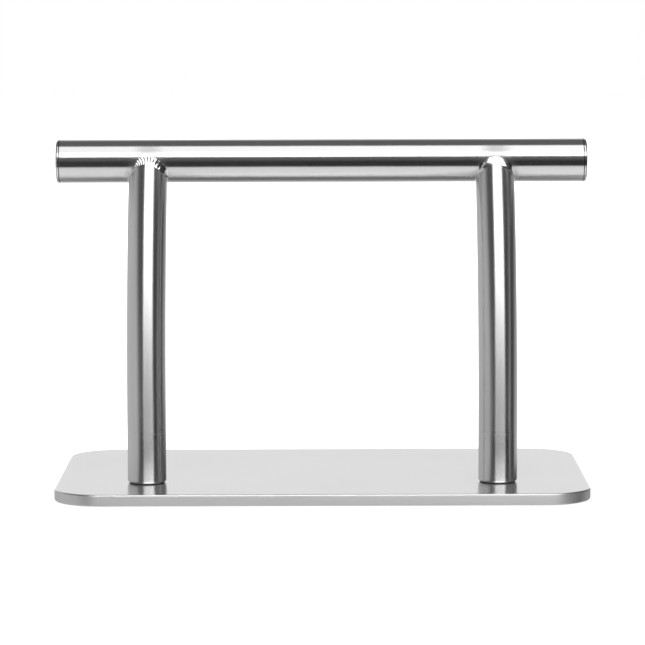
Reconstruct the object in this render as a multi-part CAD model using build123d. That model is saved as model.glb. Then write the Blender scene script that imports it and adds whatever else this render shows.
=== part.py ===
from build123d import *
import os

# Free-standing foot rail: a round crossbar on two bent legs, screwed to a heavy flat plate.
# Millimetres. +X runs along the crossbar, +Y points to the back, +Z is up.
# The origin is on the floor, under the centre of the base plate.

# Base plate and the pads under it
PLATE_WIDTH = 458.0
PLATE_DEPTH = 260.0
PLATE_THICKNESS = 10.0
PLATE_CORNER_RADIUS = 40.0
PLATE_EDGE_ROUND = 1.5
PAD_DIAMETER = 24.0
PAD_HEIGHT = 2.5
PAD_INSET = 34.0
PAD_EDGE_ROUND = 0.6

# Crossbar
BAR_DIAMETER = 38.0
BAR_WALL = 2.0
BAR_LENGTH = 462.0
BAR_AXIS_ABOVE_PLATE = 273.5
CAP_HEAD_THICKNESS = 3.0
CAP_RIM_ROUND = 2.0
CAP_SPIGOT_LENGTH = 12.0
CAP_SPIGOT_WALL = 2.5
CAP_CLEARANCE = 0.15

# Legs: upright at the foot, then bent back in one arc up to the crossbar's axis
LEG_DIAMETER = 33.7
LEG_WALL = 2.6
LEG_SPACING = 302.0
LEG_SETBACK = 63.0
LEG_UPRIGHT = 60.0
LEG_FOOT_ROUND = 2.2
WELD_SIZE = 3.4

# Foot fixing: washer, plug welded in the tube, and a countersunk M10 screw from below
WASHER_DIAMETER = 30.5
WASHER_THICKNESS = 0.8
PLUG_LENGTH = 26.0
PLUG_CLEARANCE = 0.1
PLUG_CHAMFER = 1.0
SCREW_DIAMETER = 10.0
SCREW_LENGTH = 30.0
SCREW_HEAD_DIAMETER = 20.0
SCREW_HEAD_RECESS = 0.3
SCREW_END_CHAMFER = 1.0
SOCKET_SIDES = 6
SOCKET_ACROSS_FLATS = 6.0
SOCKET_DEPTH = 3.6
THREAD_CLEARANCE = 0.05
THREAD_RUNOUT = 2.0
SCREW_HOLE_DIAMETER = 11.0

# Worked-out places
PLATE_BOTTOM = PAD_HEIGHT
PLATE_TOP = PLATE_BOTTOM + PLATE_THICKNESS
FOOT_LEVEL = PLATE_TOP + WASHER_THICKNESS
BAR_LEVEL = PLATE_TOP + BAR_AXIS_ABOVE_PLATE
TUBE_HALF = BAR_LENGTH / 2 - CAP_HEAD_THICKNESS
SIDES = {"left": -1, "right": 1}


def upright(radius, bottom, top, x=0.0, y=0.0):
    """Cylinder standing between two levels."""
    return Pos(x, y, bottom) * Cylinder(
        radius, top - bottom, align=(Align.CENTER, Align.CENTER, Align.MIN)
    )


def along_bar(radius, x_low, x_high):
    """Cylinder on the crossbar's axis between two places along X."""
    return Pos(x_low, 0, BAR_LEVEL) * Rot(0, 90, 0) * Cylinder(
        radius, x_high - x_low, align=(Align.CENTER, Align.CENTER, Align.MIN)
    )


def leg_rod(x, radius):
    """Solid rod along a leg's centre line, from the foot to the crossbar's axis."""
    foot = (x, -LEG_SETBACK, FOOT_LEVEL)
    bend = (x, -LEG_SETBACK, FOOT_LEVEL + LEG_UPRIGHT)
    straight = Line(foot, bend)
    arc = TangentArc(bend, (x, 0, BAR_LEVEL), tangent=(0, 0, 1))
    return sweep(Pos(*foot) * Circle(radius), path=Wire([straight, arc]))


def base_plate():
    """Plate with rounded corners and edges, bored and countersunk for the leg screws."""
    outline = RectangleRounded(PLATE_WIDTH, PLATE_DEPTH, PLATE_CORNER_RADIUS)
    plate = extrude(Pos(0, 0, PLATE_BOTTOM) * outline, PLATE_THICKNESS)
    rims = plate.faces().filter_by(Axis.Z).edges()
    plate = fillet(rims, PLATE_EDGE_ROUND)
    mouth = SCREW_HEAD_DIAMETER / 2 + SCREW_HEAD_RECESS
    sink_depth = mouth - SCREW_HOLE_DIAMETER / 2
    for side in SIDES.values():
        x = side * LEG_SPACING / 2
        plate -= upright(SCREW_HOLE_DIAMETER / 2, 0, FOOT_LEVEL, x, -LEG_SETBACK)
        plate -= Pos(x, -LEG_SETBACK, PLATE_BOTTOM) * Cone(
            mouth,
            SCREW_HOLE_DIAMETER / 2,
            sink_depth,
            align=(Align.CENTER, Align.CENTER, Align.MIN),
        )
    return plate


def rubber_foot(x, y):
    """Round pad stuck under the plate near a corner."""
    pad = upright(PAD_DIAMETER / 2, 0, PAD_HEIGHT, x, y)
    return fillet(pad.edges().group_by(Axis.Z)[0], PAD_EDGE_ROUND)


def crossbar_tube():
    """Straight round tube, open at both ends for the caps."""
    outer = along_bar(BAR_DIAMETER / 2, -TUBE_HALF, TUBE_HALF)
    return outer - along_bar(BAR_DIAMETER / 2 - BAR_WALL, -TUBE_HALF, TUBE_HALF)


def end_cap(side):
    """Disc that closes the tube, with a hollow spigot that fits inside it."""
    inner = TUBE_HALF - CAP_SPIGOT_LENGTH
    outer_end = TUBE_HALF + CAP_HEAD_THICKNESS
    head = along_bar(BAR_DIAMETER / 2, TUBE_HALF, outer_end)
    rim = head.edges().group_by(Axis.X)[-1]
    head = fillet(rim, CAP_RIM_ROUND)
    spigot_radius = BAR_DIAMETER / 2 - BAR_WALL - CAP_CLEARANCE
    spigot = along_bar(spigot_radius, inner, TUBE_HALF)
    spigot -= along_bar(spigot_radius - CAP_SPIGOT_WALL, inner, TUBE_HALF)
    cap = head + spigot
    return cap if side > 0 else mirror(cap, about=Plane.YZ)


def leg_tube(x):
    """Bent tube, coped at the top to sit on the crossbar, rounded at the foot."""
    rod = leg_rod(x, LEG_DIAMETER / 2)
    rod = fillet(rod.edges().group_by(Axis.Z)[0], LEG_FOOT_ROUND)
    tube = rod - leg_rod(x, LEG_DIAMETER / 2 - LEG_WALL)
    return tube - along_bar(BAR_DIAMETER / 2, x - LEG_DIAMETER, x + LEG_DIAMETER)


def weld_bead(x):
    """Closed ring of weld metal in the corner between a leg and the crossbar."""
    around_leg = leg_rod(x, LEG_DIAMETER / 2 + WELD_SIZE)
    around_bar = along_bar(BAR_DIAMETER / 2 + WELD_SIZE, x - LEG_DIAMETER, x + LEG_DIAMETER)
    corner = around_leg & around_bar
    corner -= leg_rod(x, LEG_DIAMETER / 2)
    return corner - along_bar(BAR_DIAMETER / 2, x - LEG_DIAMETER, x + LEG_DIAMETER)


def foot_washer(x):
    """Thin washer between a leg's foot and the plate."""
    washer = upright(WASHER_DIAMETER / 2, PLATE_TOP, FOOT_LEVEL, x, -LEG_SETBACK)
    return washer - upright(SCREW_HOLE_DIAMETER / 2, PLATE_TOP, FOOT_LEVEL, x, -LEG_SETBACK)


def foot_plug(x):
    """Round block in the foot of a leg, tapped for the screw."""
    radius = LEG_DIAMETER / 2 - LEG_WALL - PLUG_CLEARANCE
    plug = upright(radius, FOOT_LEVEL, FOOT_LEVEL + PLUG_LENGTH, x, -LEG_SETBACK)
    plug = chamfer(plug.edges().group_by(Axis.Z)[-1], PLUG_CHAMFER)
    screw_top = PLATE_BOTTOM + SCREW_HEAD_RECESS + SCREW_LENGTH
    thread_radius = SCREW_DIAMETER / 2 + THREAD_CLEARANCE
    return plug - upright(thread_radius, FOOT_LEVEL, screw_top + THREAD_RUNOUT, x, -LEG_SETBACK)


def leg_screw(x):
    """Countersunk screw with a hexagon socket, its head up inside the plate."""
    bottom = PLATE_BOTTOM + SCREW_HEAD_RECESS
    head_radius = SCREW_HEAD_DIAMETER / 2
    shank_radius = SCREW_DIAMETER / 2
    head = Pos(x, -LEG_SETBACK, bottom) * Cone(
        head_radius,
        shank_radius,
        head_radius - shank_radius,
        align=(Align.CENTER, Align.CENTER, Align.MIN),
    )
    shank = upright(shank_radius, bottom, bottom + SCREW_LENGTH, x, -LEG_SETBACK)
    shank = chamfer(shank.edges().group_by(Axis.Z)[-1], SCREW_END_CHAMFER)
    hexagon = RegularPolygon(SOCKET_ACROSS_FLATS / 2, SOCKET_SIDES, major_radius=False)
    return head + shank - extrude(Pos(x, -LEG_SETBACK, bottom) * hexagon, SOCKET_DEPTH)


def build_all():
    """Every sub-part, by the name of its node."""
    parts = {"base_plate": base_plate(), "crossbar_tube": crossbar_tube()}
    for name, side in SIDES.items():
        x = side * LEG_SPACING / 2
        parts[f"end_cap_{name}"] = end_cap(side)
        parts[f"leg_tube_{name}"] = leg_tube(x)
        parts[f"weld_bead_{name}"] = weld_bead(x)
        parts[f"foot_plug_{name}"] = foot_plug(x)
        parts[f"foot_washer_{name}"] = foot_washer(x)
        parts[f"leg_screw_{name}"] = leg_screw(x)
        for end, sign in {"front": -1, "rear": 1}.items():
            pad_x = side * (PLATE_WIDTH / 2 - PAD_INSET)
            pad_y = sign * (PLATE_DEPTH / 2 - PAD_INSET)
            parts[f"rubber_foot_{end}_{name}"] = rubber_foot(pad_x, pad_y)
    return parts


os.makedirs("parts", exist_ok=True)
for node, shape in build_all().items():
    export_step(shape, f"parts/{node}.step")
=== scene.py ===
"""Finish for a free-standing foot rail: polished tubes, ground welds, a satin plate and a small studio."""

import math

import bmesh
import bpy
import numpy as np
from bpy.props import FloatProperty, FloatVectorProperty, IntProperty, PointerProperty
from bpy.types import Operator, Panel, PropertyGroup
from mathutils import Euler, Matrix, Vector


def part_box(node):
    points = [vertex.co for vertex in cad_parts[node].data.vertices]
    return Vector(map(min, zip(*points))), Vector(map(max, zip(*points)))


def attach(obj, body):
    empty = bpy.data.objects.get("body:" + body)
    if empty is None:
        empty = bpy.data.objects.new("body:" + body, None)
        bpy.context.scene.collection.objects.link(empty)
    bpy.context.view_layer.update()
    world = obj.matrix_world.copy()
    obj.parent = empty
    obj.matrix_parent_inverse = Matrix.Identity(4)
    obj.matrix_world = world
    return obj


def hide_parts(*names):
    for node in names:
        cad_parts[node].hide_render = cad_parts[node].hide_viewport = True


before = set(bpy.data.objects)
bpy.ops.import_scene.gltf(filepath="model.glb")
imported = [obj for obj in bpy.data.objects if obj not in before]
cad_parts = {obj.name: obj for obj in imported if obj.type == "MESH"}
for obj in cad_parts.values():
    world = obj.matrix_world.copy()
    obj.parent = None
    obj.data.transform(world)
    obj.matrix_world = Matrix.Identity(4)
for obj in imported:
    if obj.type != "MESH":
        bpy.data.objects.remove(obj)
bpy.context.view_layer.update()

bl_info = {
    "name": "Foot rail",
    "version": (1, 0, 0),
    "blender": (4, 5, 0),
    "location": "View3D > Sidebar > Foot rail",
    "description": "Makes the finished surfaces of a free-standing foot rail round its packed parts",
    "category": "Object",
}

SIDES = {"left": -1, "right": 1}
MM = 0.001
PLATE_LOW, PLATE_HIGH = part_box("base_plate")
BAR_LOW, BAR_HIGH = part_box("crossbar_tube")
BAR_RADIUS = (BAR_HIGH.z - BAR_LOW.z) / 2
BAR_LEVEL = (BAR_HIGH.z + BAR_LOW.z) / 2
BAR_END = BAR_HIGH.x
SCREW_HOLE_RADIUS = 5.5 * MM
SINK_RADIUS = 10.3 * MM
UV_NAME = "grain"
# Points round the turned pieces, a screw hole and a weld bead
BAR_COLUMNS, CAP_COLUMNS, WASHER_COLUMNS, PAD_COLUMNS = 256, 192, 128, 96
HOLE_COLUMNS, WELD_COLUMNS = 48, 720
# Angle in degrees from which an edge is shaded sharp: rims of turned pieces, and the plate's countersinks
RIM_ANGLE, SINK_ANGLE = 60, 30
SENSOR_WIDTH = 36


class RailSizes(PropertyGroup):
    """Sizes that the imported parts' boxes don't give."""

    tube_wall: FloatProperty(
        name="Crossbar wall", description="Wall of the crossbar tube", default=2.0 * MM, unit="LENGTH"
    )
    leg_wall: FloatProperty(
        name="Leg wall", description="Wall of the leg tubes", default=2.6 * MM, unit="LENGTH"
    )
    leg_upright: FloatProperty(
        name="Leg upright", description="Straight run above each foot", default=60.0 * MM, unit="LENGTH"
    )
    foot_round: FloatProperty(
        name="Foot rounding", description="Radius at the foot of a leg", default=2.2 * MM, unit="LENGTH"
    )
    plate_corner: FloatProperty(
        name="Plate corner", description="Corner radius of the plate", default=40.0 * MM, unit="LENGTH"
    )
    plate_edge: FloatProperty(
        name="Plate edge", description="Rounding of the plate's edges", default=1.5 * MM, unit="LENGTH"
    )
    cap_rim: FloatProperty(
        name="Cap rim", description="Rounding of the end caps' rims", default=2.0 * MM, unit="LENGTH"
    )
    cap_spigot: FloatProperty(
        name="Cap spigot", description="Depth that a cap reaches into the tube", default=12.0 * MM,
        unit="LENGTH",
    )
    columns: IntProperty(name="Columns", description="Points round a tube", default=160, min=24)


class RailFinish(PropertyGroup):
    """Colours and polish of the metals."""

    tube_color: FloatVectorProperty(
        name="Tube steel", description="Reflectance of the polished tube", default=(0.74, 0.74, 0.74),
        subtype="COLOR", size=3, min=0, max=1,
    )
    plate_color: FloatVectorProperty(
        name="Plate steel", description="Reflectance of the plate", default=(0.83, 0.83, 0.83),
        subtype="COLOR", size=3, min=0, max=1,
    )
    rubber_color: FloatVectorProperty(
        name="Rubber", description="Colour of the pads and washers", default=(0.012, 0.012, 0.013),
        subtype="COLOR", size=3, min=0, max=1,
    )


class StudioSettings(PropertyGroup):
    """Camera and light."""

    camera_place: FloatVectorProperty(
        name="Camera place", description="Where the camera stands", subtype="TRANSLATION", unit="LENGTH",
        size=3, default=(0.0005, -2.7238, 0.4401),
    )
    camera_pitch: FloatProperty(
        name="Camera pitch", description="How far the camera looks down", subtype="ANGLE",
        default=math.radians(6.2075),
    )
    camera_roll: FloatProperty(
        name="Camera roll", description="Turn about the line of sight", subtype="ANGLE",
        default=math.radians(-0.178),
    )
    camera_lens: FloatProperty(
        name="Lens", description="Focal length in millimetres", default=174.23
    )
    box_strength: FloatProperty(
        name="Softbox", description="Radiance of the softbox's lower half", default=3.9, min=0
    )
    box_top: FloatProperty(
        name="Softbox top", description="Radiance of the softbox's upper half", default=1.6, min=0
    )
    wall_strength: FloatProperty(
        name="Walls", description="Radiance of the pale wall behind", default=1.0, min=0
    )
    floor_light: FloatProperty(
        name="Floor light", description="Irradiance of the soft lamp over the floor", default=3.3, min=0
    )


# ---------------------------------------------------------------- surfaces


def ring(count):
    """Angles evenly spaced round a circle, without the repeated last one."""
    return np.arange(count) * (2 * math.pi / count)


def lengths_along(line):
    """Length from the first point of a line to each of its points, and once round back to the first."""
    steps = np.linalg.norm(np.diff(np.vstack([line, line[:1]]), axis=0), axis=1)
    return np.concatenate([[0.0], np.cumsum(steps)])


def grid_faces(lengths, columns, around, close_rows):
    """Quads and their grain coordinates on a grid whose columns close round.

    Face (i, j) joins points (i, j), (i, j+1), (i+1, j+1) and (i+1, j). U is the length along the rows'
    line, with one more value than rows for the closing step, and V is the share of the way around.
    """
    rows = len(lengths) - 1
    i = np.arange(rows if close_rows else rows - 1)[:, None, None]
    j = np.arange(columns)[None, :, None]
    row_step = np.array([0, 0, 1, 1])
    column_step = np.array([0, 1, 1, 0])
    faces = ((i + row_step) % rows) * columns + (j + column_step) % columns
    u = np.broadcast_to(lengths[i + row_step], faces.shape)
    v = np.broadcast_to((j + column_step) * (around / columns), faces.shape)
    return faces.reshape(-1, 4), np.stack([u, v], axis=-1).reshape(-1, 2)


def lathe(profile, count):
    """Turned surface: each profile point (radius, height) becomes a circle about +Z.

    A profile that starts or ends on the axis closes there in a fan of triangles to one point.
    """
    profile = np.asarray(profile, float)
    first_pole, last_pole = profile[0, 0] == 0, profile[-1, 0] == 0
    inner = profile[int(first_pole): len(profile) - int(last_pole)]
    angle = ring(count)
    circle = np.stack([np.cos(angle), np.sin(angle)], axis=-1)
    points = np.concatenate(
        [
            inner[:, None, :1] * circle[None],
            np.broadcast_to(inner[:, None, 1:], (len(inner), count, 1)),
        ],
        axis=-1,
    ).reshape(-1, 3)
    lengths, around, tip_step = lengths_along(inner), 2 * math.pi * inner[:, 0].max(), 10 * MM
    quads, grain = grid_faces(lengths, count, around, close_rows=not (first_pole or last_pole))
    faces, step = quads.tolist(), np.arange(count)
    for pole, start in ((first_pole, 0), (last_pole, (len(inner) - 1) * count)):
        if pole:
            tip = np.array([[0.0, 0.0, profile[0 if start == 0 else -1, 1]]])
            points = np.concatenate([points, tip])
            fan = np.stack([start + step, start + (step + 1) % count, np.full(count, len(points) - 1)], -1)
            faces += fan.tolist()
            edge = 0.0 if start == 0 else lengths[-2]
            fan_u = [edge, edge, edge + tip_step] * count
            fan_v = np.repeat(step * around / count, 3)
            grain = np.concatenate([grain, np.stack([fan_u, fan_v], axis=-1)])
    return points, faces, grain


def arc_profile(centre_radius, centre_height, radius, start, end, count=9):
    """Points of a quarter or other arc in a profile, by angle in degrees from outwards, turning up."""
    angle = np.radians(np.linspace(start, end, count))
    return [
        (centre_radius + radius * math.cos(a), centre_height + radius * math.sin(a)) for a in angle
    ]


def along_x(points):
    """Turns a lathe's +Z axis to +X and puts it on the crossbar's axis."""
    return np.stack([points[:, 2], points[:, 1], BAR_LEVEL + points[:, 0]], axis=-1)


def leg_place(side):
    """Middle of a leg's foot (x, y), its foot level and its tube radius."""
    low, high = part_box(f"leg_tube_{side}")
    radius = (high.x - low.x) / 2
    return (low.x + high.x) / 2, low.y + radius, low.z, radius


class LegLine:
    """Centre line of a leg: straight up from the foot, then one arc back to the crossbar's axis."""

    def __init__(self, side, upright):
        self.x, self.foot_y, self.foot_z, self.radius = leg_place(side)
        self.bend_z = self.foot_z + upright
        back, rise = -self.foot_y, BAR_LEVEL - self.bend_z
        self.bend = (back * back + rise * rise) / (2 * back)
        self.turn = math.atan2(rise, self.bend - back)

    def end_turn(self, reach):
        """Turn at which a line at distance reach from the bend's centre meets the crossbar.

        Two circles cross: one of radius reach about the bend's centre, one of the crossbar's radius about
        its axis, which lies at distance bend. The law of cosines gives the angle between them.
        """
        cosine = (reach**2 + self.bend**2 - BAR_RADIUS**2) / (2 * reach * self.bend)
        return self.turn - np.arccos(cosine)

    def point(self, radius, angle, turn, base=None):
        """Point at an offset radius and angle round the tube, after a turn along the arc."""
        reach = self.bend + radius * np.cos(angle)
        base = self.bend_z if base is None else base
        x = self.x + radius * np.sin(angle)
        y = self.foot_y + self.bend - reach * np.cos(turn)
        z = base + reach * np.sin(turn)
        return np.stack(np.broadcast_arrays(x, y, z), axis=-1)


def leg_surface(line, sizes):
    """Closed tube wall of a leg, as a grid of stations along it by angles round it.

    Stations go up the outside from the rounded foot edge, over the coped end and down the bore. Each one
    has a radius, a base height and a share of the full turn at that place round the tube, so that the
    last stations lie on the crossbar's surface.
    """
    outer, inner, rounding = line.radius, line.radius - sizes.leg_wall, sizes.foot_round
    foot_rows, upright_rows, arc_rows, bore_rows, low_bore_rows = 9, 24, 140, 31, 9
    beta = np.linspace(0, math.pi / 2, foot_rows)
    straight = np.linspace(line.foot_z + rounding, line.bend_z, upright_rows + 1)[1:]
    share = np.linspace(0, 1, arc_rows + 1)[1:]
    radii = np.concatenate(
        [
            outer - rounding * (1 - np.sin(beta)),
            np.full(upright_rows + arc_rows, outer),
            np.full(bore_rows + low_bore_rows, inner),
        ]
    )
    base = np.concatenate(
        [
            line.foot_z + rounding * (1 - np.cos(beta)),
            straight,
            np.full(arc_rows + bore_rows, line.bend_z),
            np.linspace(line.bend_z, line.foot_z, low_bore_rows + 1)[1:],
        ]
    )
    shares = np.concatenate(
        [np.zeros(foot_rows + upright_rows), share, np.linspace(1, 0, bore_rows), np.zeros(low_bore_rows)]
    )
    angle = ring(sizes.columns)[None, :]
    radii, base, shares = radii[:, None], base[:, None], shares[:, None]
    turn = shares * line.end_turn(line.bend + radii * np.cos(angle))
    points = line.point(radii, angle, turn, base)
    lengths = lengths_along(points[:, 0])
    faces, grain = grid_faces(lengths, sizes.columns, 2 * math.pi * outer, close_rows=True)
    return points.reshape(-1, 3), faces.tolist(), grain


def bead_toes(line, toe_down, toe_up, toe_side, middle):
    """Corner between a leg and the crossbar, with the two toes of its weld bead, by angle round the leg.

    The toes lie wide apart in front, about the middle angle, and come close together, at toe_side, round
    the sides and back. Both dip below the steel by a skin, so that no gap shows under them. Gives the
    angles, how wide the bead is as a share and as a length, the corner, the toe on the leg, the toe on
    the crossbar and the direction in which the bead is raised.
    """
    skin = 0.03 * MM
    narrow_from, narrowing = math.radians(72), math.radians(44)
    angle = ring(WELD_COLUMNS)
    signed = (angle + math.pi) % (2 * math.pi) - math.pi
    wide = np.clip((narrow_from - np.abs(signed - middle)) / narrowing, 0, 1)
    wide = wide**2 * (3 - 2 * wide)
    toe_down = toe_side + (toe_down - toe_side) * wide
    toe_up = toe_side + (toe_up - toe_side) * wide
    reach = line.bend + line.radius * np.cos(angle)
    end = line.end_turn(reach)
    corner = line.point(line.radius, angle, end)
    leg_toe = line.point(line.radius - skin, angle, end - toe_down / reach)
    # Toe on the crossbar: step out of the corner's line on the crossbar's unrolled surface
    unrolled = BAR_RADIUS * np.arctan2(corner[:, 2] - BAR_LEVEL, -corner[:, 1])
    flat = np.stack([corner[:, 0], unrolled], axis=-1)
    tangent = np.roll(flat, -1, axis=0) - np.roll(flat, 1, axis=0)
    outward = np.stack([tangent[:, 1], -tangent[:, 0]], axis=-1)
    outward /= np.linalg.norm(outward, axis=1, keepdims=True)
    away = np.sum(outward * (flat - flat.mean(axis=0)), axis=1, keepdims=True)
    flat = flat + outward * np.sign(away) * toe_up[:, None]
    theta, depth = flat[:, 1] / BAR_RADIUS, BAR_RADIUS - skin
    bar_toe = np.stack([flat[:, 0], -depth * np.cos(theta), BAR_LEVEL + depth * np.sin(theta)], axis=-1)
    # Mean of the two surface normals, which holds where the corner is blunt and the chord short
    bar_normal = (corner - [0, 0, BAR_LEVEL]) * [0, 1, 1] / BAR_RADIUS
    leg_normal = corner - line.point(0 * angle, angle, end)
    raised = bar_normal + leg_normal / np.linalg.norm(leg_normal, axis=1, keepdims=True)
    raised /= np.linalg.norm(raised, axis=1, keepdims=True)
    return signed, wide, toe_down + toe_up, corner, leg_toe, bar_toe, raised


def bead_ripples(signed, across, height):
    """Height of a bead's ripples, by angle round the leg and share of the way across the bead.

    They bow between the toes and fade there. Towards the left they stand closer and rise higher.
    """
    count, crowding, bow = 48, 0.25, 9
    roundness, mean_scallop = 0.6, 0.45
    crown_lean, growth = 1.4, 0.5
    phase = signed * (1 - crowding * signed) * count + bow * (across - 0.5) ** 2
    scallop = np.abs(np.sin(phase / 2)) ** roundness
    crown = np.sin(math.pi * across**crown_lean)
    return crown * height * (1 - growth * signed) * (scallop - mean_scallop)


def bead_pore(distance, size, depth):
    """Height of a pore, by distance from its middle: a pit with a raised lip round it."""
    lip_height, lip_radius = 0.45 * depth, 1.7 * size
    pit = depth * np.exp(-((distance / size) ** 2))
    return lip_height * np.exp(-(((distance - lip_radius) / size) ** 2)) - pit


def weld_surface(line, toe_down, toe_up, toe_side, middle, fill, ripple, pore):
    """Weld metal in the corner between a leg and the crossbar, as a closed ring.

    Across the bead runs a quadratic curve from a toe on the leg, past the corner, to a toe on the
    crossbar. Fill moves its middle control point from the corner, a hollow fillet, to the chord, a flat
    one, and past it to a raised bead. Ripples and one pore are added along the corner's bisector. A pore
    is its angle round the leg in radians, its share of the way across, its size and its depth.
    """
    rows, root_depth = 21, 0.6 * MM
    signed, wide, width, corner, leg_toe, bar_toe, raised = bead_toes(
        line, toe_down, toe_up, toe_side, middle
    )
    chord = (leg_toe + bar_toe) / 2 - corner
    across = np.linspace(0, 1, rows)[:, None, None]
    control = corner + chord * fill
    curve = (1 - across) ** 2 * leg_toe + 2 * across * (1 - across) * control + across**2 * bar_toe
    signed = signed[None, :, None]
    pore_angle, pore_across, pore_size, pore_depth = pore
    off_round = (signed - pore_angle) * line.radius
    off_across = (across - pore_across) * width[None, :, None]
    relief = wide[None, :, None] * bead_ripples(signed, across, ripple)
    relief = relief + bead_pore(np.hypot(off_round, off_across), pore_size, pore_depth)
    curve = curve + raised * relief
    length = np.linalg.norm(chord, axis=1, keepdims=True)
    root = corner - raised * np.minimum(length, root_depth)
    points = np.concatenate([curve, root[None]])
    around = 2 * math.pi * line.radius
    faces, grain = grid_faces(lengths_along(points[:, 0]), WELD_COLUMNS, around, close_rows=True)
    return points.reshape(-1, 3), faces.tolist(), grain


def rounded_outline(half_x, half_y, radius, seam_y):
    """Outline of a rounded rectangle, anticlockwise, with points on both short sides at seam_y.

    Straight sides carry a few points, corners are arcs.
    """
    side_shares, long_side_steps = np.array([-0.66, 0.0, 0.66]), 8
    corner_points, clearance = 25, 0.1 * MM
    side_y = side_shares * (half_y - radius)
    side_y = np.sort(np.append(side_y[np.abs(side_y - seam_y) > clearance], seam_y))
    side_x = np.linspace(-1, 1, long_side_steps + 1)[1:-1] * (half_x - radius)
    bend = np.radians(np.linspace(0, 90, corner_points))
    parts = []
    for quarter, (sign_x, sign_y) in enumerate(((1, 1), (-1, 1), (-1, -1), (1, -1))):
        turned = bend + quarter * math.pi / 2
        corner = np.stack(
            [
                sign_x * (half_x - radius) + radius * np.cos(turned),
                sign_y * (half_y - radius) + radius * np.sin(turned),
            ],
            axis=-1,
        )
        if quarter % 2 == 0:
            side = np.stack([side_x[::-1] * sign_y, np.full(len(side_x), sign_y * half_y)], axis=-1)
        else:
            run = side_y[::-1] if sign_x < 0 else side_y
            side = np.stack([np.full(len(run), sign_x * half_x), run], axis=-1)
        parts += [corner, side]
    return np.concatenate(parts)


def plate_surface(sizes, screws):
    """Plate as stacked outlines down its rounded edge, closed above and below by two flat faces each.

    The flat faces meet on the line through the screw holes and go round each hole by half a circle, and
    a stack of circles lines each countersunk hole.
    """
    half_x, half_y, edge = PLATE_HIGH.x, PLATE_HIGH.y, sizes.plate_edge
    low, high = PLATE_LOW.z, PLATE_HIGH.z
    seam_y, on_line = screws[0][1], 1e-7
    edge_points, flat_margin = 11, 0.3 * MM
    # Lengths of the grain once round the outline, where it runs round, and once round a hole
    outline_grain, hole_grain = 1.4, 0.035
    beta = np.radians(np.linspace(0, 90, edge_points))
    insets = np.concatenate([[edge + flat_margin], edge * (1 - np.sin(beta))])
    drops = np.concatenate([[0.0], edge * (1 - np.cos(beta))])
    insets = np.concatenate([insets, insets[::-1]])
    levels = np.concatenate([high - drops, (low + drops)[::-1]])
    outlines = [
        rounded_outline(half_x - inset, half_y - inset, sizes.plate_corner - inset, seam_y)
        for inset in insets
    ]
    count = len(outlines[0])
    points = np.concatenate(
        [np.column_stack([line, np.full(count, level)]) for line, level in zip(outlines, levels)]
    )
    lengths = lengths_along(np.column_stack([insets, levels]))
    quads, grain = grid_faces(lengths, count, outline_grain, close_rows=False)
    grain = grain[:, ::-1]
    faces = quads.tolist()
    sink = SINK_RADIUS - SCREW_HOLE_RADIUS
    hole_radii = [SINK_RADIUS, SCREW_HOLE_RADIUS, SCREW_HOLE_RADIUS]
    hole_levels = [low, low + sink, high]
    holes = []
    for x, y in screws:
        circle = ring(HOLE_COLUMNS)
        start = len(points)
        stack = [
            np.column_stack(
                [x + r * np.cos(circle), y + r * np.sin(circle), np.full(HOLE_COLUMNS, level)]
            )
            for r, level in zip(hole_radii, hole_levels)
        ]
        points = np.concatenate([points, *stack])
        depths = np.array([0.0, sink, high - low, 0.0])
        wall, wall_grain = grid_faces(depths, HOLE_COLUMNS, hole_grain, close_rows=False)
        faces += (wall + start).tolist()
        grain = np.concatenate([grain, wall_grain])
        holes.append((start + 2 * HOLE_COLUMNS, start))
    for top, row in ((True, 0), (False, len(levels) - 1)):
        rim = row * count + np.arange(count)
        on_seam = np.flatnonzero(np.abs(points[rim, 1] - seam_y) < on_line)
        left = on_seam[np.argmin(points[rim[on_seam], 0])]
        right = on_seam[np.argmax(points[rim[on_seam], 0])]
        back = [int(rim[k % count]) for k in range(right, left + 1 + (count if left < right else 0))]
        front = [int(rim[k % count]) for k in range(left, right + 1 + (count if right < left else 0))]
        half = HOLE_COLUMNS // 2
        back_path, front_path = [], []
        for first in (hole[0 if top else 1] for hole in holes):
            upper = [first + k for k in range(half, -1, -1)]
            lower = [first + k % HOLE_COLUMNS for k in range(half, HOLE_COLUMNS + 1)]
            back_path += upper
            front_path += lower
        for face in (back + back_path, front + front_path[::-1]):
            faces.append(face)
            grain = np.concatenate([grain, points[face][:, :2]])
    return points, faces, grain


def pad_profile(radius, height):
    """Profile of a rubber pad: rounded lower rim, two shallow grooves under it and an eased top."""
    rim, ease = 0.6 * MM, 0.15 * MM
    groove_shares, groove_depth = (0.38, 0.68), 0.35 * MM
    groove_mouth, groove_floor = 0.5 * MM, 0.3 * MM
    under = []
    for share in groove_shares:
        under += [
            (radius * share - groove_mouth, 0.0),
            (radius * share - groove_floor, groove_depth),
            (radius * share + groove_floor, groove_depth),
            (radius * share + groove_mouth, 0.0),
        ]
    corner = arc_profile(radius - rim, rim, rim, -90, 0)
    top = [(radius, height - ease), (radius - ease, height), (0.0, height)]
    return [(0.0, 0.0)] + under + corner + top


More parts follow.
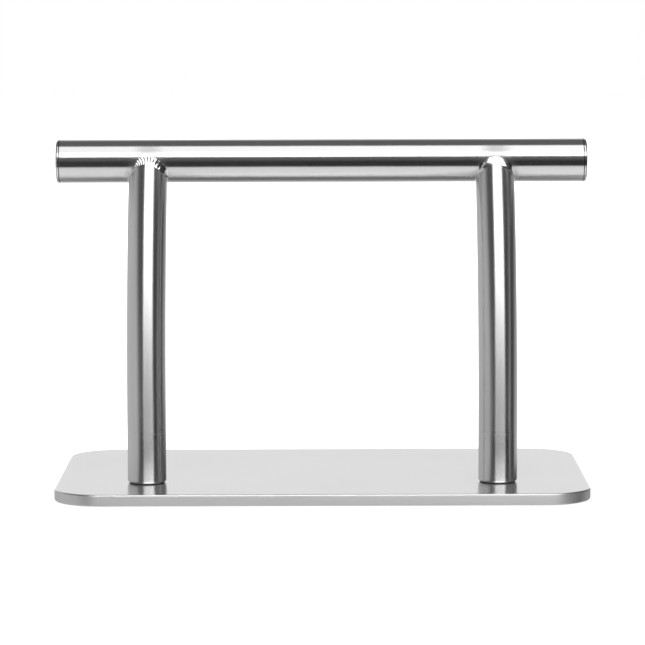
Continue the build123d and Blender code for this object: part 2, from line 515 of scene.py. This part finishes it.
def cap_profile(sizes):
    """Profile of an end cap, outwards from the tube's end: polished face, rounded rim, seam, spigot."""
    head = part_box("end_cap_right")[1].x - BAR_END
    rim, seam, face_margin, side_margin = sizes.cap_rim, 0.3 * MM, 0.3 * MM, 0.2 * MM
    slack, spigot_wall, middle_share = 0.15 * MM, 2.5 * MM, 0.5
    spigot = BAR_RADIUS - sizes.tube_wall - slack
    face = [(0.0, head), (BAR_RADIUS * middle_share, head), (BAR_RADIUS - rim - face_margin, head)]
    corner = arc_profile(BAR_RADIUS - rim, head - rim, rim, 90, 0)
    side = [(BAR_RADIUS, head - rim - side_margin), (BAR_RADIUS, 1.5 * seam), (BAR_RADIUS, seam)]
    side += [(BAR_RADIUS - seam, 0.0)]
    inside = [
        (spigot, 0.0),
        (spigot, -sizes.cap_spigot),
        (spigot - spigot_wall, -sizes.cap_spigot),
        (spigot - spigot_wall, 0.0),
        (0.0, 0.0),
    ]
    return face + corner + side + inside


def tube_profile(sizes):
    """Profile of the crossbar's wall, from end to end outside and back inside, its rims eased."""
    ease, rows = 0.25 * MM, 61
    inner = BAR_RADIUS - sizes.tube_wall
    stations = np.linspace(-BAR_END + 2 * ease, BAR_END - 2 * ease, rows)
    stations = np.concatenate([[-BAR_END + ease], stations, [BAR_END - ease]])
    outside = [(BAR_RADIUS - ease, -BAR_END)] + [(BAR_RADIUS, x) for x in stations]
    return outside + [(BAR_RADIUS - ease, BAR_END), (inner, BAR_END), (inner, -BAR_END)]


def washer_profile(side):
    """Profile of the thin washer under a foot, its outer edge slightly rounded."""
    low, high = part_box(f"foot_washer_{side}")
    radius, middle = (high.x - low.x) / 2, (low.z + high.z) / 2
    half = (high.z - low.z) / 2
    edge = arc_profile(radius - half, middle, half, -90, 90)
    return [(SCREW_HOLE_RADIUS, low.z)] + edge + [(SCREW_HOLE_RADIUS, high.z)]


# ---------------------------------------------------------------- pieces


def make_piece(name, points, faces, grain, material, node, slot, sharp=None):
    """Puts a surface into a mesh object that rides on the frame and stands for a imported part."""
    mesh = bpy.data.meshes.new(name)
    mesh.from_pydata(np.asarray(points).tolist(), [], faces)
    mesh.uv_layers.new(name=UV_NAME).data.foreach_set("uv", np.asarray(grain, np.float32).ravel())
    solid = bmesh.new()
    solid.from_mesh(mesh)
    bmesh.ops.recalc_face_normals(solid, faces=solid.faces)
    solid.to_mesh(mesh)
    solid.free()
    mesh.shade_smooth()
    if sharp is not None:
        mesh.set_sharp_from_angle(angle=math.radians(sharp))
    mesh.validate()
    piece = bpy.data.objects.new(name, mesh)
    bpy.context.scene.collection.objects.link(piece)
    mesh.materials.append(material)
    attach(piece, "root")
    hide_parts(node)
    return piece


# ---------------------------------------------------------------- materials


class Formula:
    """A number worked out by Math nodes, so that a shader's formulas read as formulas."""

    def __init__(self, tree, socket):
        self.tree = tree
        self.socket = socket

    def node(self, operation, *values):
        """Result of a Math node on formulas and plain numbers."""
        math_node = self.tree.nodes.new("ShaderNodeMath")
        math_node.operation = operation
        for place, value in enumerate(values):
            if isinstance(value, Formula):
                self.tree.links.new(value.socket, math_node.inputs[place])
            else:
                math_node.inputs[place].default_value = value
        return Formula(self.tree, math_node.outputs[0])

    def __add__(self, other):
        return self.node("ADD", self, other)

    def __sub__(self, other):
        return self.node("SUBTRACT", self, other)

    def __rsub__(self, other):
        return self.node("SUBTRACT", other, self)

    def __mul__(self, other):
        return self.node("MULTIPLY", self, other)

    def __truediv__(self, other):
        return self.node("DIVIDE", self, other)

    __radd__ = __add__
    __rmul__ = __mul__

    def step(self, start, end):
        """Smooth step from 0 at start to 1 at end."""
        range_node = self.tree.nodes.new("ShaderNodeMapRange")
        range_node.interpolation_type = "SMOOTHSTEP"
        range_node.inputs["From Min"].default_value = start
        range_node.inputs["From Max"].default_value = end
        self.tree.links.new(self.socket, range_node.inputs["Value"])
        return Formula(self.tree, range_node.outputs["Result"])

    def between(self, low, high, soft):
        """1 between low and high, easing to 0 over soft on each side."""
        return self.step(low - soft, low + soft) * (1 - self.step(high - soft, high + soft))


class Finish:
    """A material under construction, with its Principled shader and short ways to add nodes."""

    def __init__(self, name):
        self.material = bpy.data.materials.new(name)
        self.material.use_nodes = True
        self.tree = self.material.node_tree
        self.shader = self.tree.nodes["Principled BSDF"]

    def set(self, **values):
        for name, value in values.items():
            self.shader.inputs[name.replace("_", " ")].default_value = value

    def link(self, source, target):
        self.tree.links.new(getattr(source, "socket", source), target)

    def coordinates(self, scale, grain=False):
        """Object or grain coordinates, stretched by a scale for each axis."""
        source = self.tree.nodes.new("ShaderNodeUVMap" if grain else "ShaderNodeTexCoord")
        if grain:
            source.uv_map = UV_NAME
        mapping = self.tree.nodes.new("ShaderNodeMapping")
        mapping.inputs["Scale"].default_value = scale
        self.link(source.outputs["UV" if grain else "Object"], mapping.inputs["Vector"])
        return mapping.outputs["Vector"]

    def noise(self, coordinates, scale, detail=2.0, roughness=0.5):
        """Value of a noise texture, from 0 to 1."""
        noise_node = self.tree.nodes.new("ShaderNodeTexNoise")
        noise_node.inputs["Scale"].default_value = scale
        noise_node.inputs["Detail"].default_value = detail
        noise_node.inputs["Roughness"].default_value = roughness
        self.link(coordinates, noise_node.inputs["Vector"])
        return Formula(self.tree, noise_node.outputs["Fac"])

    def split(self, coordinates):
        """The three parts of a coordinate as formulas."""
        split_node = self.tree.nodes.new("ShaderNodeSeparateXYZ")
        self.link(coordinates, split_node.inputs[0])
        return [Formula(self.tree, part) for part in split_node.outputs]

    def shade(self, color, amount, spread=0.1):
        """Base colour, darkened and lightened round its value as an amount goes from 0 to 1."""
        mix = self.tree.nodes.new("ShaderNodeMix")
        mix.data_type = "RGBA"
        mix.clamp_factor = False
        mix.inputs["A"].default_value = (*[c * (1 - spread / 2) for c in color], 1)
        mix.inputs["B"].default_value = (*[c * (1 + spread / 2) for c in color], 1)
        self.link(amount, mix.inputs["Factor"])
        self.link(mix.outputs["Result"], self.shader.inputs["Base Color"])

    def bump(self, height, distance, strength=1.0, onto=None):
        """Bump from a height, on top of an earlier one if that is given."""
        bump_node = self.tree.nodes.new("ShaderNodeBump")
        bump_node.inputs["Distance"].default_value = distance
        bump_node.inputs["Strength"].default_value = strength
        self.link(height, bump_node.inputs["Height"])
        if onto is not None:
            self.link(onto, bump_node.inputs["Normal"])
        self.link(bump_node.outputs["Normal"], self.shader.inputs["Normal"])
        return bump_node.outputs["Normal"]

    def along_grain(self):
        """Stretches highlights along the grain's U direction."""
        tangent = self.tree.nodes.new("ShaderNodeTangent")
        tangent.direction_type = "UV_MAP"
        tangent.uv_map = UV_NAME
        self.link(tangent.outputs["Tangent"], self.shader.inputs["Tangent"])


def polished_tube(name, color, anisotropic, roughness, foot_level=None, weld_place=None):
    """Belt-polished steel: polishing lines run round the tube, so highlights smear along it.

    Below the foot level, if there is one, the tube is polished a little brighter. Round the weld place,
    and its mirror image, the tube is ground and rougher. At each cap's seam the colour is darkened in a
    thin line: painted shade for the shadow in the gap between cap and tube.
    """
    seam_width, seam_soft, painted_seam_shade = 0.45 * MM, 0.1 * MM, 9
    foot_fade, foot_polish = 35 * MM, 0.05
    ground_near, ground_far, ground_ragged, ground_rough = 20 * MM, 29 * MM, 6 * MM, 0.22
    finish = Finish(name)
    finish.set(Metallic=1.0, Anisotropic=anisotropic)
    finish.along_grain()
    place = finish.coordinates((1, 1, 1))
    broad = finish.noise(place, scale=26, detail=1.0)
    lines = finish.noise(
        finish.coordinates((2600, 45, 1), grain=True), scale=1.0, detail=3.0, roughness=0.7
    )
    across, deep, height = finish.split(place)
    off_middle = across.node("ABSOLUTE", across)
    # Painted shade: the colour is darkened in a thin line at each seam between the crossbar and a cap, where
    # the gap lies in shadow
    seam = off_middle.between(BAR_END - seam_soft, BAR_END + seam_width, seam_soft)
    finish.shade(color, broad * 0.6 + lines * 0.4 - seam * painted_seam_shade)
    rough = roughness + lines * 0.04 + broad * 0.02
    if foot_level is not None:
        rough = rough - (1 - height.step(foot_level, foot_level + foot_fade)) * foot_polish
    if weld_place is not None:
        x, y, z = weld_place
        off_x, off_y, off_z = off_middle - abs(x), deep - y, height - z
        distance = off_x.node("SQRT", off_x * off_x + off_y * off_y + off_z * off_z)
        ground = 1 - (distance + broad * ground_ragged).step(ground_near, ground_far)
        rough = rough + ground * ground_rough
    finish.link(rough, finish.shader.inputs["Roughness"])
    wavy = finish.bump(broad, 0.16 * MM)
    finish.bump(lines, 0.0006 * MM, onto=wavy)
    return finish.material


def ground_weld(name, color):
    """Weld metal, lightly buffed, with fine pitting."""
    finish = Finish(name)
    finish.set(Metallic=1.0)
    coordinates = finish.coordinates((1, 1, 1))
    fine = finish.noise(coordinates, scale=900, detail=3.0, roughness=0.6)
    broad = finish.noise(coordinates, scale=160)
    finish.shade(color, broad)
    finish.link(0.1 + fine * 0.12, finish.shader.inputs["Roughness"])
    soft = finish.bump(broad, 0.12 * MM)
    finish.bump(fine, 0.01 * MM, onto=soft)
    return finish.material


def satin_plate(name, color):
    """Satin sheet steel: long fine brush lines with the plate's length, a little cloudy, its edge duller and
    rougher, and its sides darkened a little in colour as painted shade.
    """
    edge_depth, edge_painted_shade, edge_rough = 1.3 * MM, 0.5, 0.3
    finish = Finish(name)
    finish.set(Metallic=1.0, Anisotropic=0.6, Anisotropic_Rotation=0.25)
    finish.along_grain()
    place = finish.coordinates((1, 1, 1))
    cloud = finish.noise(place, scale=9)
    lines = finish.noise(finish.coordinates((6, 900, 1500)), scale=1.0, roughness=0.6)
    level = finish.split(place)[2]
    edge = 1 - level.step(PLATE_HIGH.z - edge_depth, PLATE_HIGH.z)
    # Painted shade: below the top face the sides' colour is darkened a little; their extra roughness is the
    # duller ground finish
    finish.shade(color, cloud * 0.5 + lines * 0.5 - edge * edge_painted_shade)
    rough = 0.2 + lines * 0.05 + cloud * 0.04 + edge * edge_rough
    finish.link(rough, finish.shader.inputs["Roughness"])
    finish.bump(lines, 0.004 * MM)
    return finish.material


def black_rubber(name, color):
    """Matt black rubber with a fine moulded grain and a dusty bloom."""
    finish = Finish(name)
    finish.set(Metallic=0.0)
    coordinates = finish.coordinates((1, 1, 1))
    grain = finish.noise(coordinates, scale=1400)
    bloom = finish.noise(coordinates, scale=120, detail=3.0)
    finish.shade(color, bloom)
    finish.link(0.62 + bloom * 0.2, finish.shader.inputs["Roughness"])
    finish.bump(grain, 0.05 * MM, strength=0.5)
    return finish.material


def turned_steel(name, color, roughness):
    """Turned or plated steel for the fixings: fine rings, slight staining."""
    finish = Finish(name)
    finish.set(Metallic=1.0)
    stain = finish.noise(finish.coordinates((1, 1, 1)), scale=150, detail=3.0)
    rings = finish.noise(finish.coordinates((1, 1, 2600)), scale=1.0)
    finish.shade(color, stain)
    finish.link(roughness + rings * 0.12 + stain * 0.08, finish.shader.inputs["Roughness"])
    finish.bump(rings, 0.01 * MM)
    return finish.material


def once(make, name, color, **values):
    """A material by name, made the first time that it is asked for."""
    return bpy.data.materials.get(name) or make(name, color, **values)


def bar_material(finish):
    """Material of the crossbar and its caps."""
    low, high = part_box("weld_bead_right")
    return once(
        polished_tube, "polished_bar", finish.tube_color, anisotropic=0.95, roughness=0.22,
        weld_place=(low + high) / 2,
    )


# ---------------------------------------------------------------- operators


class FOOTRAIL_OT_base_plate(Operator):
    """Make the satin base plate with its rounded corners and countersunk holes"""

    bl_idname = "footrail.base_plate"
    bl_label = "Base plate"

    def execute(self, context):
        sizes, finish = context.scene.rail_sizes, context.scene.rail_finish
        screws = [leg_place(side)[:2] for side in SIDES]
        surface = plate_surface(sizes, screws)
        material = once(satin_plate, "satin_plate", finish.plate_color)
        make_piece("plate_slab", *surface, material, "base_plate", "plate_steel", sharp=SINK_ANGLE)
        return {"FINISHED"}


class FOOTRAIL_OT_crossbar(Operator):
    """Make the polished crossbar tube"""

    bl_idname = "footrail.crossbar"
    bl_label = "Crossbar"

    def execute(self, context):
        sizes, finish = context.scene.rail_sizes, context.scene.rail_finish
        points, faces, grain = lathe(tube_profile(sizes), BAR_COLUMNS)
        material = bar_material(finish)
        make_piece(
            "crossbar_shell", along_x(points), faces, grain, material, "crossbar_tube", "tube_steel",
            sharp=RIM_ANGLE,
        )
        return {"FINISHED"}


class FOOTRAIL_OT_end_caps(Operator):
    """Make the caps that close the crossbar's ends"""

    bl_idname = "footrail.end_caps"
    bl_label = "End caps"

    def execute(self, context):
        sizes, finish = context.scene.rail_sizes, context.scene.rail_finish
        material = bar_material(finish)
        points, faces, grain = lathe(cap_profile(sizes), CAP_COLUMNS)
        for name, side in SIDES.items():
            placed = along_x(points)
            placed[:, 0] = side * (BAR_END + placed[:, 0])
            make_piece(
                f"cap_{name}", placed, faces, grain, material, f"end_cap_{name}", "tube_steel",
                sharp=RIM_ANGLE,
            )
        return {"FINISHED"}


class FOOTRAIL_OT_legs(Operator):
    """Make the two bent leg tubes, coped to the crossbar"""

    bl_idname = "footrail.legs"
    bl_label = "Legs"

    def execute(self, context):
        sizes, finish = context.scene.rail_sizes, context.scene.rail_finish
        material = once(
            polished_tube, "polished_leg", finish.tube_color, anisotropic=1.0, roughness=0.26,
            foot_level=35 * MM,
        )
        for name in SIDES:
            line = LegLine(name, sizes.leg_upright)
            surface = leg_surface(line, sizes)
            make_piece(
                f"leg_{name}", *surface, material, f"leg_tube_{name}", "tube_steel", sharp=RIM_ANGLE
            )
        return {"FINISHED"}


class FOOTRAIL_OT_welds(Operator):
    """Make the weld beads: the left one rippled in front, the right one ground smooth"""

    bl_idname = "footrail.welds"
    bl_label = "Welds"

    def execute(self, context):
        sizes, finish = context.scene.rail_sizes, context.scene.rail_finish
        material = once(ground_weld, "ground_weld", finish.tube_color)
        beads = {
            "left": dict(
                toe_down=3.4 * MM, toe_up=4.4 * MM, toe_side=1.0 * MM, middle=0.3, fill=0.35,
                ripple=0.6 * MM, pore=(-1.2, 0.5, 0.8 * MM, 0.5 * MM),
            ),
            "right": dict(
                toe_down=3.8 * MM, toe_up=4.6 * MM, toe_side=0.9 * MM, middle=0.0, fill=0.3,
                ripple=0.0, pore=(-0.6, 0.55, 0.6 * MM, 0.4 * MM),
            ),
        }
        for name, bead in beads.items():
            line = LegLine(name, sizes.leg_upright)
            surface = weld_surface(line, **bead)
            make_piece(f"weld_{name}", *surface, material, f"weld_bead_{name}", "weld_metal")
        return {"FINISHED"}


class FOOTRAIL_OT_foot_washers(Operator):
    """Make the thin black washers under the feet"""

    bl_idname = "footrail.foot_washers"
    bl_label = "Foot washers"

    def execute(self, context):
        finish = context.scene.rail_finish
        material = once(black_rubber, "black_rubber", finish.rubber_color)
        for name in SIDES:
            x, y, _, _ = leg_place(name)
            points, faces, grain = lathe(washer_profile(name), WASHER_COLUMNS)
            make_piece(
                f"washer_{name}", points + [x, y, 0], faces, grain, material, f"foot_washer_{name}",
                "black_fibre", sharp=RIM_ANGLE,
            )
        return {"FINISHED"}


class FOOTRAIL_OT_rubber_feet(Operator):
    """Make the grooved rubber pads under the plate"""

    bl_idname = "footrail.rubber_feet"
    bl_label = "Rubber feet"

    def execute(self, context):
        finish = context.scene.rail_finish
        material = once(black_rubber, "black_rubber", finish.rubber_color)
        for name in SIDES:
            for end in ("front", "rear"):
                node = f"rubber_foot_{end}_{name}"
                low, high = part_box(node)
                radius = (high.x - low.x) / 2
                points, faces, grain = lathe(pad_profile(radius, high.z - low.z), PAD_COLUMNS)
                centre = np.array([(low.x + high.x) / 2, (low.y + high.y) / 2, low.z])
                make_piece(
                    f"pad_{end}_{name}", points + centre, faces, grain, material, node,
                    "black_rubber", sharp=RIM_ANGLE,
                )
        return {"FINISHED"}


class FOOTRAIL_OT_fixings(Operator):
    """Finish the plugs and screws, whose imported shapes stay"""

    bl_idname = "footrail.fixings"
    bl_label = "Fixings"

    def execute(self, context):
        plug_color, screw_color = (0.5, 0.5, 0.49), (0.62, 0.63, 0.62)
        plug = once(turned_steel, "turned_plug", plug_color, roughness=0.28)
        screw = once(turned_steel, "zinc_screw_finish", screw_color, roughness=0.2)
        for name in SIDES:
            for node, material in ((f"foot_plug_{name}", plug), (f"leg_screw_{name}", screw)):
                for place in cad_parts[node].material_slots:
                    place.material = material
        return {"FINISHED"}


# ---------------------------------------------------------------- studio
#
# Directions are an azimuth, from straight in front of the rail and positive to the right, and an
# elevation, both as formulas in degrees. A pair is where something starts and ends to ease in, and a
# triple is a range with the softness of its ends.


def softbox(x, y, z, azimuth, elevation):
    """Share of a direction that the softbox fills, from 0 to 1.

    The box hangs over the front: a rectangle square to a tilted direction, seen as tangents across and
    up. Its lower part is wider, between two azimuths.
    """
    tilt, ahead_from, ahead_to = math.radians(60), 0.05, 0.15
    width, height = (-0.26, 0.62, 0.05), (-0.68, 0.52, 0.05)
    low_width, low_top = (-17, 44, 4), (38, 46)
    facing = z * math.sin(tilt) - y * math.cos(tilt)
    upward = z * math.cos(tilt) + y * math.sin(tilt)
    safe = facing.node("MAXIMUM", facing, ahead_from)
    low_part = azimuth.between(*low_width) * (1 - elevation.step(*low_top))
    across = safe.node("MAXIMUM", (x / safe).between(*width), low_part)
    return across * (upward / safe).between(*height) * facing.step(ahead_from, ahead_to)


def walls(azimuth, elevation):
    """Radiance of the pale wall behind, the grey wall on the left and the low grey one on the right.

    The wall behind darkens towards its foot, and the left wall comes further forward as it goes down.
    """
    corner, behind_top, behind_foot, foot_share = (146, 160), (9, 58), (-62, -12), 0.28
    left_end, left_top, left_level, left_swing, left_gray = (-84, -60), (20, 50), (0, 44), 29, 0.57
    right_start, right_top, right_gray = (100, 122), (-6, 6), 0.6
    back = azimuth.node("ABSOLUTE", azimuth).step(*corner)
    behind = back * (1 - elevation.step(*behind_top))
    behind = behind * (foot_share + elevation.step(*behind_foot) * (1 - foot_share))
    left_place = azimuth - (1 - elevation.step(*left_level)) * left_swing
    left = (1 - back) * (1 - left_place.step(*left_end)) * (1 - elevation.step(*left_top)) * left_gray
    right = (1 - back) * azimuth.step(*right_start) * (1 - elevation.step(*right_top)) * right_gray
    return behind.node("MAXIMUM", behind.node("MAXIMUM", behind, left), right)


def lit_floor(azimuth, elevation):
    """Radiance of the lit floor in front, a little brighter near the rail, with dark gaps across it."""
    width, far_edge, near_part, near_gain = (0, 84, 6), (-33, -25), (-62, -35), 0.14
    side_gaps, side_dark = (47, 60, 3), 0.95
    left_gap, left_dark = (-33, -21, 3), 0.8
    around = azimuth.node("ABSOLUTE", azimuth)
    lit = around.between(*width) * (1 - elevation.step(*far_edge))
    lit = lit * (1 + (1 - elevation.step(*near_part)) * near_gain)
    return lit * (1 - around.between(*side_gaps) * side_dark) * (1 - azimuth.between(*left_gap) * left_dark)


def dark_parts(azimuth, elevation):
    """Radiance of the dark room in front, the black flags at both sides and the ceiling.

    The flags have a leaning pale strip and a fainter one on the right. Low down they have one more faint
    strip on the left and a darker band on each side.
    """
    front_width, front_rise, front_gray, front_gain = (-30, 38, 6), (-4, 13), 0.022, 0.1
    flag_gray, low_top = 0.07, (0, 20)
    strip_place, strip_lean, strip_gray, strip_gain = (80, 88, 2), 11, 0.16, 0.14
    right_strip, right_gray = (104, 112, 3), 0.07
    left_strip, left_gray = (-42, -34, 3), 0.05
    side_bands, band_dark = (48, 60, 3), 0.07
    ceiling_start, ceiling_gray = (40, 60), 0.14
    low = 1 - elevation.step(*low_top)
    around = azimuth.node("ABSOLUTE", azimuth)
    strip = (azimuth + low * strip_lean).between(*strip_place) * (strip_gray + low * strip_gain)
    flags = flag_gray + strip + azimuth.between(*right_strip) * right_gray
    flags = flags + low * azimuth.between(*left_strip) * left_gray
    flags = flags - low * around.between(*side_bands) * band_dark
    front = azimuth.between(*front_width)
    dark = front * (front_gray + elevation.step(*front_rise) * front_gain) + (1 - front) * flags
    ceiling = elevation.step(*ceiling_start)
    return dark * (1 - ceiling) + ceiling * ceiling_gray


def studio_world(world, settings):
    """Fills the world with a studio, as radiance by direction. The camera itself sees plain white."""
    world.use_nodes = True
    tree = world.node_tree
    nodes, links = tree.nodes, tree.links
    nodes.clear()
    coordinate = nodes.new("ShaderNodeTexCoord")
    split = nodes.new("ShaderNodeSeparateXYZ")
    links.new(coordinate.outputs["Generated"], split.inputs[0])
    x, y, z = (Formula(tree, split.outputs[k]) for k in range(3))
    azimuth = x.node("ARCTAN2", x, 0 - y) * math.degrees(1)
    elevation = z.node("ARCSINE", z) * math.degrees(1)
    box_fade = (38, 54)
    fade = elevation.step(*box_fade)
    strength = (1 - fade) * settings.box_strength + fade * settings.box_top
    room = walls(azimuth, elevation)
    room = room.node("MAXIMUM", room, lit_floor(azimuth, elevation)) * settings.wall_strength
    room = room.node("MAXIMUM", room, dark_parts(azimuth, elevation))
    box = softbox(x, y, z, azimuth, elevation)
    radiance = box * strength + (1 - box) * room
    seen = Formula(tree, nodes.new("ShaderNodeLightPath").outputs["Is Camera Ray"])
    background = nodes.new("ShaderNodeBackground")
    background.inputs["Color"].default_value = (1, 1, 1, 1)
    links.new((seen + (1 - seen) * radiance).socket, background.inputs["Strength"])
    output = nodes.new("ShaderNodeOutputWorld")
    links.new(background.outputs[0], output.inputs["Surface"])


def paper_material(name, shade):
    """Matt white paper with a barely visible tooth, which gives off some light of its own."""
    finish = Finish(name)
    tooth = finish.noise(finish.coordinates((1, 1, 1)), scale=300)
    finish.set(Roughness=0.9, Specular_IOR_Level=0.1)
    finish.shade((shade, shade, shade), tooth, spread=0.04)
    finish.set(Emission_Color=(1, 1, 1, 1), Emission_Strength=0.8)
    return finish.material


def sheet(name, half, level, material):
    """Flat square for the stage, centred on the origin."""
    corners = [(-half, -half, level), (half, -half, level), (half, half, level), (-half, half, level)]
    mesh = bpy.data.meshes.new(name)
    mesh.from_pydata(corners, [], [(0, 1, 2, 3)])
    mesh.materials.append(material)
    made = bpy.data.objects.new(name, mesh)
    bpy.context.scene.collection.objects.link(made)
    return made


class FOOTRAIL_OT_studio(Operator):
    """Make the floor, the light and the camera"""

    bl_idname = "footrail.studio"
    bl_label = "Studio"

    def execute(self, context):
        scene, settings = context.scene, context.scene.studio_settings
        floor_half, floor_level, floor_shade = 9, -0.1 * MM, 0.84
        lamp_spread, lamp_forward, lamp_sideways = 70, -14, -8
        paper = paper_material("floor_paper", floor_shade)
        floor = sheet("floor", floor_half, floor_level, paper)
        floor.visible_glossy = False
        lamp = bpy.data.lights.new("floor_lamp", "SUN")
        lamp.energy = settings.floor_light
        lamp.angle = math.radians(lamp_spread)
        lamp_object = bpy.data.objects.new("floor_lamp", lamp)
        lamp_object.rotation_euler = Euler((math.radians(lamp_forward), math.radians(lamp_sideways), 0))
        lamp_object.visible_glossy = False
        scene.collection.objects.link(lamp_object)
        scene.world = bpy.data.worlds.new("studio")
        studio_world(scene.world, settings)
        camera = bpy.data.cameras.new("camera")
        camera.lens = settings.camera_lens
        camera.sensor_width = SENSOR_WIDTH
        camera.clip_start, camera.clip_end = 0.1, 50
        camera_object = bpy.data.objects.new("camera", camera)
        camera_object.location = settings.camera_place
        look = Euler((math.pi / 2 - settings.camera_pitch, 0, 0)).to_matrix()
        roll = Euler((0, 0, settings.camera_roll)).to_matrix()
        camera_object.rotation_euler = (look @ roll).to_euler()
        scene.collection.objects.link(camera_object)
        scene.camera = camera_object
        scene.view_settings.view_transform = "Standard"
        return {"FINISHED"}


class FOOTRAIL_PT_sidebar(Panel):
    """Sidebar with every size, finish and piece of the foot rail"""

    bl_idname = "FOOTRAIL_PT_sidebar"
    bl_label = "Foot rail"
    bl_space_type = "VIEW_3D"
    bl_region_type = "UI"
    bl_category = "Foot rail"

    def draw(self, context):
        scene = context.scene
        for group in (scene.rail_sizes, scene.rail_finish, scene.studio_settings):
            box = self.layout.box()
            for name in group.__annotations__:
                box.prop(group, name)
        for operator in OPERATORS:
            self.layout.operator(operator.bl_idname)


OPERATORS = (
    FOOTRAIL_OT_base_plate,
    FOOTRAIL_OT_crossbar,
    FOOTRAIL_OT_end_caps,
    FOOTRAIL_OT_legs,
    FOOTRAIL_OT_welds,
    FOOTRAIL_OT_foot_washers,
    FOOTRAIL_OT_rubber_feet,
    FOOTRAIL_OT_fixings,
    FOOTRAIL_OT_studio,
)
GROUPS = {"rail_sizes": RailSizes, "rail_finish": RailFinish, "studio_settings": StudioSettings}


def register():
    for group in GROUPS.values():
        bpy.utils.register_class(group)
    for name, group in GROUPS.items():
        setattr(bpy.types.Scene, name, PointerProperty(type=group))
    for made in (*OPERATORS, FOOTRAIL_PT_sidebar):
        bpy.utils.register_class(made)


def unregister():
    for made in (FOOTRAIL_PT_sidebar, *reversed(OPERATORS)):
        bpy.utils.unregister_class(made)
    for name, group in GROUPS.items():
        delattr(bpy.types.Scene, name)
        bpy.utils.unregister_class(group)


def main():
    register()
    bpy.ops.footrail.base_plate()
    bpy.ops.footrail.crossbar()
    bpy.ops.footrail.end_caps()
    bpy.ops.footrail.legs()
    bpy.ops.footrail.welds()
    bpy.ops.footrail.foot_washers()
    bpy.ops.footrail.rubber_feet()
    bpy.ops.footrail.fixings()
    bpy.ops.footrail.studio()


if __name__ == "__main__":
    main()
